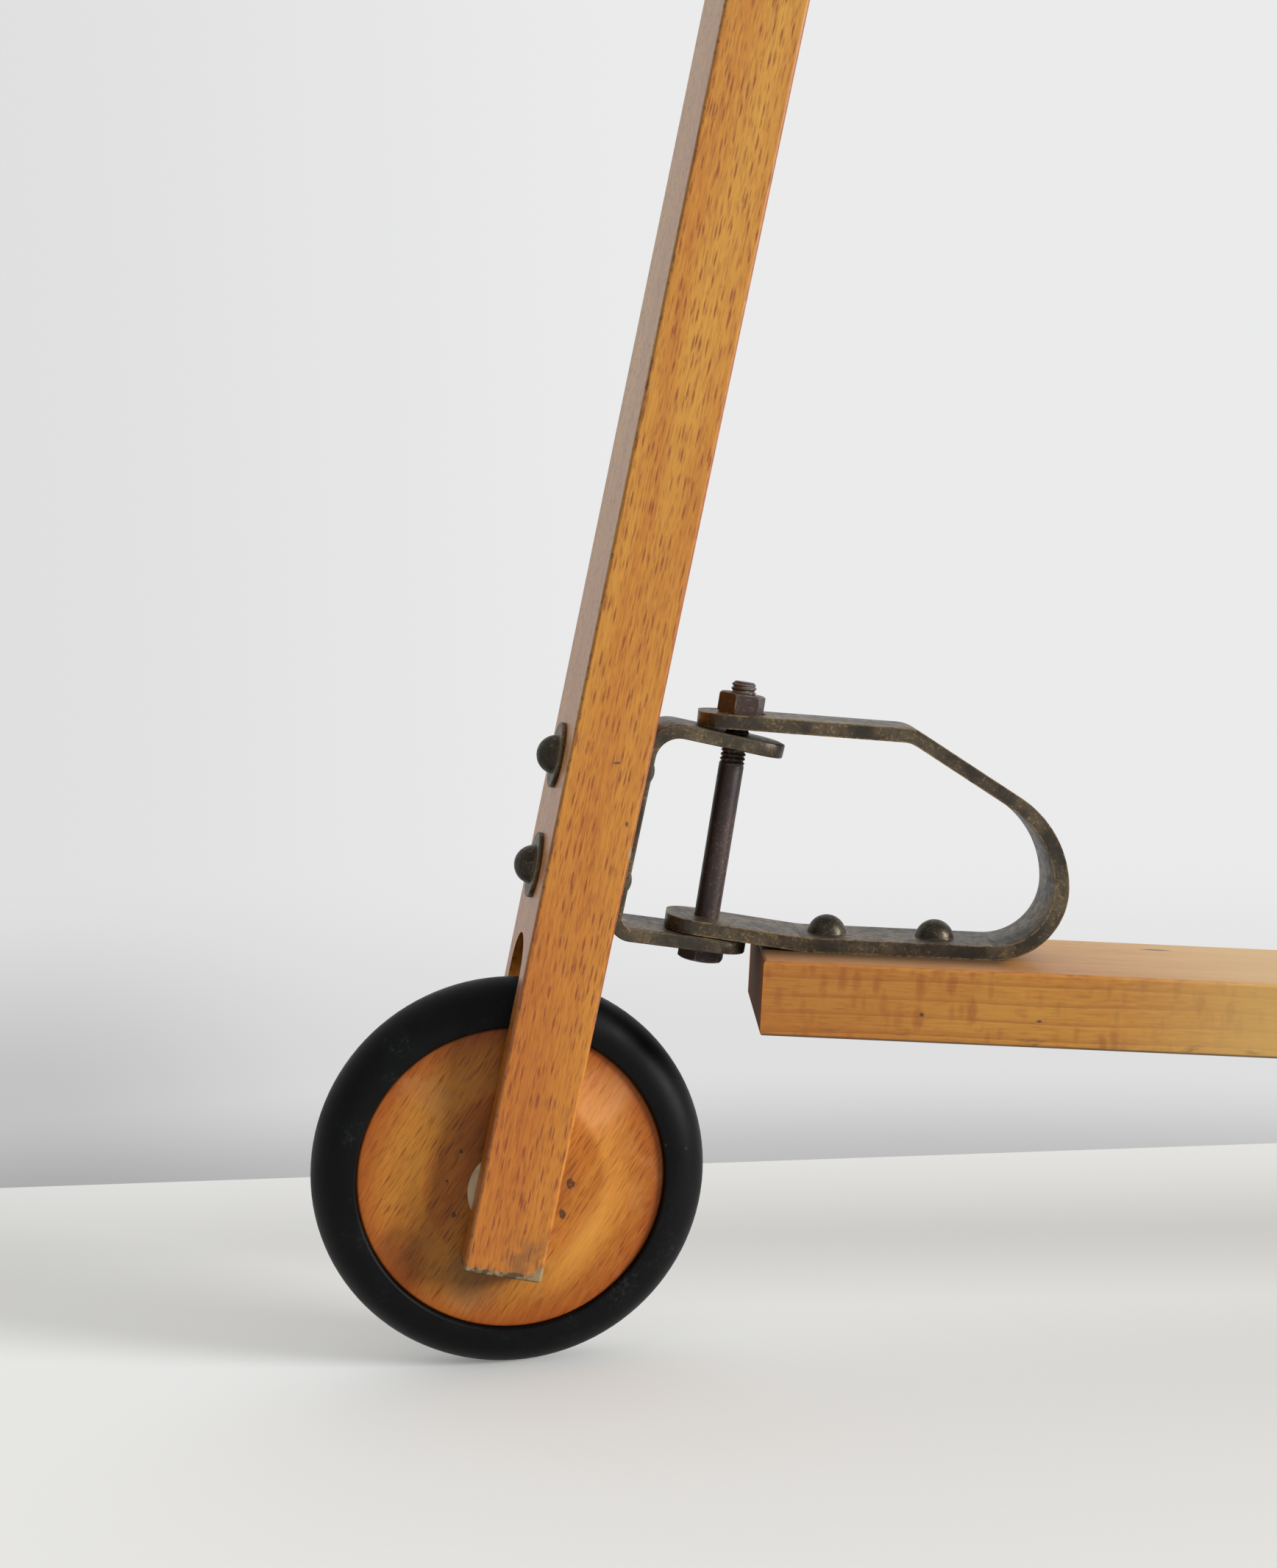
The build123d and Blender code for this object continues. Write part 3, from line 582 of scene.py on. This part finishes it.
def deck_beech():
    """The deck: growth lines along its sides, crossed by ray flakes, soiled lower edges, and painted shade on
    its top and beside the strap.
    """
    shader = material_shader("deck_beech")
    up, back = leaning(DECK_SLOPE)
    axes = [back, ACROSS, up]
    nose, _ = reach("deck_board", REAR_HUB, back)
    bottom, _ = reach("deck_board", REAR_HUB, up)
    color, height, fibre, parts = beech_colors(
        shader, REAR_HUB, axes, DECK_TONES, dashes=0.20, flakes=0.50, rings=0.36, ray_size=FLAKE_SIZE,
    )
    behind_nose = shader.math("SUBTRACT", parts[0], nose)
    over_bottom = shader.math("SUBTRACT", parts[2], bottom)
    color, bare = end_grain(shader, color, axes[0], END_DARK)
    color = shader.mix(shader.ramp(behind_nose, *NOSE_FADE, 0.40, 0.0), color, DECK_NOSE)
    color = shader.mix(shader.ramp(behind_nose, *PALE_FROM, 0.0, 0.65), color, DECK_PALE)
    # Painted shade and painted reflection: faces of the deck that look up are darker and a little bluer
    color = shader.mix(shader.ramp(shader.along(shader.normal, up), 0.5, 0.9), color, TOP_PAINTED_SHADE, "MULTIPLY")
    # Soil on the lower edges, and grime with painted shadow beside the strap
    color = shader.mix(deck_dirt_and_shade(shader, behind_nose, parts[1], over_bottom), color, DECK_SOIL_AND_SHADE)
    color = marked(shader, color, DECK_DENTS, 0.90, DENT)
    color = marked(shader, color, [DECK_SCAR], 0.85, DENT)
    return varnish(shader, color, height, fibre, bare, coat=0.20)


def wheel_plane(axle):
    """The level and the upright direction in the plane of a wheel."""
    level = UPWARD.cross(axle).normalized()
    level = level if level.x > 0 else -level
    return level, (UPWARD - axle * axle.z).normalized()


def grain_band(shader, parts, streak):
    """A pale band of a disc's grain, from 0 to 1."""
    ends, sides = (
        shader.ramp(shader.math("ABSOLUTE", shader.math("SUBTRACT", part, middle)), 0.0, half, 1.0, 0.0)
        for part, middle, half in zip(parts, BAND_MIDDLE, BAND_HALF)
    )
    return shader.times(ends, sides, shader.ramp(streak, 0.25, 0.60, 0.25, 0.60))


def disc_wear_and_light(shader, color, hub):
    """A lighter ring past the crease that is painted light, a redder rim that is partly painted shade, and
    faded and dirty rounds of a disc: the colour, and where the varnish faded.
    """
    far = shader.vector("DISTANCE", shader.place, tuple(hub), output="Value")
    smear = shader.clouds(SMEAR_SIZE, detail=5.0, rough=0.6)
    # Painted light: a lighter ring just past the crease
    crown_light = shader.times(shader.ramp(far, *CROWN_LIGHT_FROM), shader.ramp(far, *CROWN_LIGHT_TO, 0.20, 0.0))
    color = shader.mix(crown_light, color, DISC_CROWN_LIGHT)
    # The rim redder, and darker as painted shade
    color = shader.mix(shader.ramp(far, *RIM_RED_AND_SHADE_FROM, 0.0, 0.65), color, DISC_RIM_RED_AND_SHADE)
    faded = shader.times(shader.ramp(far, *FADED_FROM), shader.ramp(smear, 0.54, 0.70, 0.0, 0.35))
    color = shader.mix(faded, color, DISC_FADED)
    dirt = shader.times(shader.ramp(far, *DIRTY_TO, 0.50, 0.0), shader.ramp(smear, 0.38, 0.62))
    return shader.mix(dirt, color, DISC_DIRT), faded


def wheel_beech(name, hub, axle, dents=(), patches=()):
    """A wheel disc: grain slanting across it, worn varnish, a painted light ring and partly painted shade at
    the rim, and dirt and dents round its hub.
    """
    shader = material_shader(name)
    level, rise = wheel_plane(axle)
    sine, cosine = math.sin(math.radians(DISC_GRAIN)), math.cos(math.radians(DISC_GRAIN))
    axes = [level * cosine + rise * sine, rise * cosine - level * sine, axle]
    color, height, fibre, parts = beech_colors(
        shader, hub, axes, DISC_TONES, dashes=0.72, flakes=0.20, rings=0.10,
    )
    wood, _ = shader.local(hub, axes)
    streak = shader.noise(shader.stretched(wood, DISC_STREAK_SIZE), detail=4.0, rough=0.6)
    color = shader.mix(shader.ramp(streak, 0.48, 0.72, 0.0, 0.22), color, DISC_TONES[2])
    color = shader.mix(grain_band(shader, parts, streak), color, DISC_BAND)
    color, faded = disc_wear_and_light(shader, color, hub)
    middle = hub - axle * DISC_HALF
    # Patches of dirt, and a pale patch that is worn varnish with a painted sheen
    for across, high, size, shade in patches:
        patch = shader.spot(middle + level * across + rise * high, [size] * 3)
        patch = shader.times(patch, shader.ramp(streak, 0.30, 0.60, 0.20, 0.55))
        color = shader.mix(patch, color, tint(*shade))
    chip = shader.clouds(CHIP_SIZE)
    for across, high, size in dents:
        dent = shader.spot(middle + level * across + rise * high, (size * DENT_NARROWING, size, size))
        dent = shader.math("ADD", dent, shader.times(chip, 1.6))
        color = shader.mix(shader.ramp(dent, 1.45, 1.75, 0.0, 0.85), color, DENT)
    return varnish(shader, color, height, fibre, faded, coat=0.12, sheen=0.30)


def dowel_beech():
    """Small wooden pegs, plugs and wedges, seen on their end grain."""
    shader = material_shader("dowel_beech")
    axes = [ACROSS, Vector((1, 0, 0)), UPWARD]
    color, height, fibre, _ = beech_colors(
        shader, REAR_HUB, axes, DOWEL_TONES, dashes=0.60, flakes=0.30, rings=0.20,
    )
    color, bare = end_grain(shader, color, axes[0], END_PALE)
    return varnish(shader, color, height, fibre, bare)


# Steel, rubber and plastic
def old_steel(name, dark, brown, speck, specks, metallic, shine):
    """Steel under an old brown patina, with golden specks and worn edges."""
    shader = material_shader(name)
    broad = shader.clouds(PATINA_SIZE, detail=5.0, rough=0.62)
    fine = shader.clouds(PITTING_SIZE, detail=5.0, rough=0.65)
    grit = shader.clouds(GRIT_SIZE, detail=2.0)
    color = shader.mix(shader.ramp(broad, 0.36, 0.66), dark, brown)
    color = shader.mix(shader.ramp(fine, 0.46, 0.66, 0.0, 0.60), color, dark)
    worn = shader.times(shader.edges(WORN_EDGE), shader.ramp(fine, 0.38, 0.60), 0.80)
    rust = shader.times(shader.ramp(grit, 0.55, 0.70), shader.ramp(broad, 0.36, 0.58), specks)
    color = shader.mix(shader.most(worn, rust), color, speck)
    values = {
        "Base Color": color,
        "Metallic": metallic,
        "Roughness": shader.ramp(fine, 0.25, 0.75, shine, shine + 0.20),
    }
    return shader.finish(values, shader.math("ADD", fine, shader.times(grit, 0.4)), STEEL_RELIEF, 0.5)


def axle_steel():
    """Bright drawn steel, brushed along its length."""
    shader = material_shader("axle_steel")
    lines = shader.noise(shader.stretched(shader.place, DRAWN_SIZE))
    color = shader.mix(shader.ramp(lines, 0.3, 0.7), tint(140, 138, 134), tint(176, 174, 170))
    values = {"Base Color": color, "Metallic": 0.9, "Roughness": shader.ramp(lines, 0.2, 0.8, 0.28, 0.42)}
    return shader.finish(values, lines, DRAWN_RELIEF, 0.4)


def tyre_rubber():
    """Old black rubber with a dull sheen, scuffed and a little dusty."""
    shader = material_shader("tyre_rubber")
    broad = shader.clouds(SCUFF_SIZE, detail=5.0, rough=0.6)
    fine = shader.clouds(RUBBER_SIZE, detail=4.0, rough=0.6)
    distance, chance = shader.cells(shader.stretched(shader.place, [DUST_SPACING] * 3))
    dust = shader.times(shader.ramp(distance, 0.03, 0.09, 1.0, 0.0), shader.ramp(chance, 0.65, 0.80))
    scuff = shader.times(shader.ramp(broad, 0.56, 0.70), shader.ramp(fine, 0.45, 0.70, 0.0, 0.30))
    color = shader.mix(shader.ramp(broad, 0.40, 0.75), tint(6, 6, 7), tint(13, 14, 15))
    color = shader.mix(shader.times(dust, 0.30), color, tint(104, 102, 96))
    color = shader.mix(scuff, color, tint(70, 73, 76))
    values = {
        "Base Color": color,
        "Roughness": shader.ramp(broad, 0.3, 0.7, 0.42, 0.56),
        "Specular IOR Level": 0.12,
    }
    return shader.finish(values, shader.math("ADD", fine, shader.times(dust, 0.5)), RUBBER_RELIEF, 0.5)


def cream_plastic():
    """Cream plastic, a little yellowed and soiled."""
    shader = material_shader("cream_plastic")
    soil = shader.clouds(SOIL_SIZE, detail=4.0)
    color = shader.mix(shader.ramp(soil, 0.35, 0.75), tint(240, 226, 190), tint(216, 196, 156))
    values = {"Base Color": color, "Roughness": shader.ramp(soil, 0.2, 0.8, 0.42, 0.55)}
    return shader.finish(values, soil, PLASTIC_RELIEF, 0.4)


def paint(material, *nodes):
    """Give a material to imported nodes."""
    for name in nodes:
        slots = frame["nodes"][name].data.materials
        slots.clear()
        slots.append(material)


STRAP_STEEL = old_steel(
    "strap_steel", dark=tint(60, 55, 48), brown=tint(104, 92, 74), speck=tint(196, 160, 104),
    specks=0.34, metallic=0.70, shine=0.36,
)
RIVET_STEEL = old_steel(
    "rivet_steel", dark=tint(44, 39, 33), brown=tint(72, 65, 53), speck=tint(140, 118, 80),
    specks=0.45, metallic=0.75, shine=0.34,
)
BOLT_STEEL = old_steel(
    "bolt_steel", dark=tint(40, 32, 30), brown=tint(68, 50, 44), speck=tint(170, 158, 148),
    specks=0.16, metallic=0.30, shine=0.34,
)

paint(post_beech(), "steering_post")
paint(bar_beech(), "handlebar")
paint(deck_beech(), "deck_board")
paint(dowel_beech(), "handlebar_pin", "handlebar_wedge", "front_axle_plug", "rear_axle_plug")
paint(STRAP_STEEL, "post_bracket", "hinge_loop", "post_rivet_washers", "deck_rivet_washers")
paint(RIVET_STEEL, "post_rivets", "deck_rivets")
paint(BOLT_STEEL, "hinge_nut")
paint(axle_steel(), "front_axle", "rear_axle", "front_hub_bush", "rear_hub_bush")
paint(tyre_rubber(), "front_tyre", "rear_tyre")
paint(cream_plastic(), "front_spacers", "rear_spacers")


def soften(width, *nodes):
    """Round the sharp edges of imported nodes, so that they catch the light."""
    for name in nodes:
        piece = frame["nodes"][name]
        weld = piece.modifiers.new("weld", "WELD")
        weld.merge_threshold = WELD_GAP
        bevel = piece.modifiers.new("bevel", "BEVEL")
        bevel.width = width
        bevel.segments = EDGE_STEPS
        bevel.limit_method = "ANGLE"
        bevel.angle_limit = math.radians(EDGE_ANGLE)
        bevel.harden_normals = True


soften(STRAP_EDGE, "hinge_loop", "post_bracket")
soften(NUT_EDGE, "hinge_nut")
soften(WASHER_EDGE, "post_rivet_washers", "deck_rivet_washers")


# Pieces turned round an axis
def turned_piece(name, origin, axis, rings, closed, material):
    """A piece from rings round an axis, each with one (radius, height) per angle.

    The last ring joins the first where the piece is closed, and otherwise both ends get a flat cap.
    """
    sides = len(rings[0])
    side = axis.orthogonal().normalized()
    front = axis.cross(side)
    points = []
    for ring in rings:
        for step, (radius, height) in enumerate(ring):
            turn = 2 * math.pi * step / sides
            outward = side * math.cos(turn) + front * math.sin(turn)
            points.append(origin + axis * height + outward * radius)
    faces = []
    for row in range(len(rings) if closed else len(rings) - 1):
        low, high = row * sides, (row + 1) % len(rings) * sides
        for step in range(sides):
            after = (step + 1) % sides
            faces.append((low + step, low + after, high + after, high + step))
    if not closed:
        last = (len(rings) - 1) * sides
        faces.append(tuple(reversed(range(sides))))
        faces.append(tuple(range(last, last + sides)))
    mesh = bpy.data.meshes.new(name)
    mesh.from_pydata(points, [], faces)
    mesh.update()
    mesh.materials.append(material)
    mesh.shade_smooth()
    mesh.set_sharp_from_angle(angle=math.radians(SHARP_ANGLE))
    piece = bpy.data.objects.new(name, mesh)
    bpy.context.scene.collection.objects.link(piece)
    return piece


def disc_face(bore, rim):
    """Half of a disc's outline, from its bore to the groove in its rim for the tyre's rib: radius and height.

    The face is flat in the middle, falls steeply at a crease and levels out towards the rim.
    """
    edge = rim - RIM_ROUND
    width = edge - DISC_FLAT
    slope = math.tan(math.radians(DISC_SLOPE))
    levelling = (slope * width - DISC_HALF + RIM_HALF) / width ** 2
    outline = [(bore, 0.0), (bore, DISC_HALF), ((bore + DISC_FLAT) / 2, DISC_HALF)]
    outline.append((DISC_FLAT - width / CROWN_STEPS, DISC_HALF))
    for step in range(CROWN_STEPS + 1):
        out = width * step / CROWN_STEPS
        outline.append((DISC_FLAT + out, DISC_HALF - slope * out + levelling * out ** 2))
    for step in range(1, ROUND_STEPS + 1):
        turn = math.pi / 2 * step / ROUND_STEPS
        outline.append((edge + RIM_ROUND * math.sin(turn), RIM_HALF - RIM_ROUND + RIM_ROUND * math.cos(turn)))
    return outline + [(rim, RIB_HALF), (rim - RIB_DEPTH, RIB_HALF)]


def turned_disc(node, body, hub, axle, material):
    """A wheel disc with a crease round its flat middle, in place of the smoothly crowned packed one."""
    radii = [(offset - axle * offset.dot(axle)).length for offset in offsets(node, hub)]
    face = disc_face(min(radii), max(radii))
    outline = face + [(radius, -height) for radius, height in reversed(face[1:])]
    rings = [[point] * DISC_SIDES for point in reversed(outline)]
    disc = turned_piece(node + "_turned", hub, axle, rings, True, material)
    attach(disc, body)
    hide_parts(node)


front_beech = wheel_beech("front_wheel_beech", FRONT_HUB, FRONT_AXLE, DISC_DENTS, DISC_PATCHES)
rear_beech = wheel_beech("rear_wheel_beech", REAR_HUB, REAR_AXLE)
turned_disc("front_wheel_disc", "front_wheel", FRONT_HUB, FRONT_AXLE, front_beech)
turned_disc("rear_wheel_disc", "rear_wheel", REAR_HUB, REAR_AXLE, rear_beech)


# Threaded hinge bolt
def hexagon_radius(turn):
    """The distance from a hexagon's middle to its side, at an angle in radians."""
    sixth = math.pi / 3
    return BOLT_FLATS / 2 / math.cos((turn + sixth / 2) % sixth - sixth / 2)


def thread_radius(turn, height, start, tip):
    """The bolt's radius at an angle and a height, with a thread cut from start to tip."""
    phase = (height / THREAD_PITCH - turn / (2 * math.pi)) % 1.0
    cut = max(0.0, 1 - abs(phase - 0.5) / GROOVE_HALF)
    grown = min(1.0, max(0.0, (height - start) / THREAD_FADE))
    radius = BOLT_RADIUS - THREAD_DEPTH * cut * grown
    return min(radius, BOLT_RADIUS - max(0.0, height - tip + BOLT_TIP_CHAMFER))


def bolt_rings():
    """The bolt's surface as rings from the head's underside to the tip: one (radius, height) per angle."""
    foot, tip = reach("hinge_bolt", HINGE_POINT, HINGE_AXIS)
    seat = foot + BOLT_HEAD_HEIGHT
    start = tip - THREAD_LENGTH
    flat = BOLT_FLATS / 2
    slope = math.tan(math.radians(BOLT_HEAD_CHAMFER))
    turns = [2 * math.pi * step / BOLT_SIDES for step in range(BOLT_SIDES)]
    rings = [[(flat, foot) for _ in turns]]
    rings.append([(hexagon_radius(turn), foot + (hexagon_radius(turn) - flat) * slope) for turn in turns])
    rings.append([(hexagon_radius(turn), seat) for turn in turns])
    rings.append([(BOLT_RADIUS, seat) for _ in turns])
    rings.append([(BOLT_RADIUS, start) for _ in turns])
    steps = int(THREAD_LENGTH / THREAD_PITCH * THREAD_STEPS)
    for step in range(1, steps + 1):
        height = start + THREAD_LENGTH * step / steps
        rings.append([(thread_radius(turn, height, start, tip), height) for turn in turns])
    return rings


def threaded_bolt():
    """The hinge bolt with its thread, in place of the plain packed one."""
    bolt = turned_piece("hinge_bolt_threaded", HINGE_POINT, HINGE_AXIS, bolt_rings(), False, BOLT_STEEL)
    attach(bolt, "deck")
    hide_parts("hinge_bolt")


threaded_bolt()


# Studio
def eye_only(shader, hidden, shown, output):
    """One shader for the light that falls on things, another for what the eye and reflections see."""
    path = shader.add("ShaderNodeLightPath").outputs
    seen = shader.most(path["Is Camera Ray"], path["Is Glossy Ray"], path["Is Transmission Ray"])
    mix = shader.add("ShaderNodeMixShader", {0: seen, 1: hidden.outputs[0], 2: shown.outputs[0]})
    shader.add(output, {"Surface": mix.outputs[0]})
    return shader.holder


def wall_shade(shader, direction):
    """The painted shade of the glowing wall and background in a direction: dimmer to the left, low down, at
    the wall's foot and in the room.
    """
    split = shader.add("ShaderNodeSeparateXYZ", {0: direction}).outputs
    left = shader.ramp(split["X"], *WALL_LEFT_TO, WALL_LEFT, 1.0)
    low_left = shader.ramp(split["X"], *WALL_LOW_LEFT_TO, WALL_LOW_LEFT, WALL_LOW)
    low = shader.ramp(split["Z"], *WALL_LOW_TO, low_left, 1.0)
    foot = shader.ramp(split["Z"], *WALL_FOOT_TO, WALL_FOOT, 1.0)
    room = shader.ramp(split["Y"], *ROOM_SHADE_TO, ROOM_SHADE, 1.0)
    return shader.times(left, low, foot, room)


def floor_plane(name, low, high, material):
    """A flat rectangle on the ground that isn't part of the object."""
    corners = [(low[0], low[1], 0), (high[0], low[1], 0), (high[0], high[1], 0), (low[0], high[1], 0)]
    mesh = bpy.data.meshes.new(name)
    mesh.from_pydata(corners, [], [(0, 1, 2, 3)])
    mesh.materials.append(material)
    plane = bpy.data.objects.new(name, mesh)
    bpy.context.scene.collection.objects.link(plane)


def floor_material():
    """A pale matt tabletop with the scooter's shadow, and a dimmer one for the light it throws back."""
    shader = material_shader("studio_floor")
    bounce = shader.add("ShaderNodeBsdfDiffuse", {"Color": (*FLOOR_BOUNCE, 1.0)})
    lit = shader.add("ShaderNodeBsdfDiffuse", {"Color": (*FLOOR_COLOR, 1.0)})
    glow = shader.add("ShaderNodeEmission", {"Color": (*FLOOR_GLOW, 1.0)})
    shown = shader.add("ShaderNodeAddShader", {0: lit.outputs[0], 1: glow.outputs[0]})
    return eye_only(shader, bounce, shown, "ShaderNodeOutputMaterial")


def wall_material():
    """Beyond the tabletop: a glowing wall colour with painted shade for the eye, and the tabletop's matt tone
    for the light.
    """
    shader = material_shader("studio_wall")
    direction = shader.vector("NORMALIZE", shader.away(CAMERA_PLACE))
    bounce = shader.add("ShaderNodeBsdfDiffuse", {"Color": (*FLOOR_BOUNCE, 1.0)})
    values = {"Color": (*WALL_COLOR, 1.0), "Strength": wall_shade(shader, direction)}
    shown = shader.add("ShaderNodeEmission", values)
    return eye_only(shader, bounce, shown, "ShaderNodeOutputMaterial")


def surroundings():
    """Soft light from all round: bright from above and from the wall, dim from the room and its left."""
    shader = Shader(bpy.data.worlds.new("studio"))
    split = shader.add("ShaderNodeSeparateXYZ", {0: shader.direction}).outputs
    room = shader.ramp(split["X"], *ROOM_LEFT_TO, ROOM_LEFT, ROOM_RIGHT)
    around = shader.ramp(split["Y"], *ROOM_TO_WALL, room, WALL_LIGHT)
    above = shader.ramp(split["Z"], *SKY_FROM, 0.0, SKY_LIGHT)
    values = {"Color": (1.0, 1.0, 1.0, 1.0), "Strength": shader.most(around, above)}
    light = shader.add("ShaderNodeBackground", values)
    values = {"Color": (*WALL_COLOR, 1.0), "Strength": wall_shade(shader, shader.direction)}
    shown = shader.add("ShaderNodeBackground", values)
    bpy.context.scene.world = eye_only(shader, light, shown, "ShaderNodeOutputWorld")


def key_lamp():
    """Soft light from the right, like a wide window far off: its width is an angle."""
    light = bpy.data.lights.new("key", "SUN")
    light.angle = math.radians(KEY_WIDTH)
    light.energy = KEY_POWER
    lamp = bpy.data.objects.new("key", light)
    lamp.location = KEY_FROM
    lamp.rotation_euler = (-KEY_FROM).to_track_quat("-Z", "Y").to_euler()
    bpy.context.scene.collection.objects.link(lamp)


def studio():
    """Tabletop, wall and light."""
    floor_plane("floor", (-FLOOR_REACH, -FLOOR_REACH), (FLOOR_REACH, WALL_LINE), floor_material())
    floor_plane("wall_floor", (-FLOOR_REACH, WALL_LINE), (FLOOR_REACH, FLOOR_REACH), wall_material())
    surroundings()
    key_lamp()


def camera():
    """The photograph's viewpoint."""
    forward = CAMERA_FORWARD.normalized()
    right = (CAMERA_RIGHT - forward * CAMERA_RIGHT.dot(forward)).normalized()
    up = right.cross(forward)
    data = bpy.data.cameras.new("photo_camera")
    data.sensor_width = SENSOR
    data.lens = FOCAL_PIXELS / max(PHOTO_WIDTH, PHOTO_HEIGHT) * SENSOR
    data.clip_start = CLIP_START
    view = bpy.data.objects.new("photo_camera", data)
    view.matrix_world = Matrix.Translation(CAMERA_PLACE) @ Matrix((right, up, -forward)).transposed().to_4x4()
    bpy.context.scene.collection.objects.link(view)
    bpy.context.scene.camera = view


studio()
camera()
bpy.context.scene.view_settings.view_transform = "Standard"
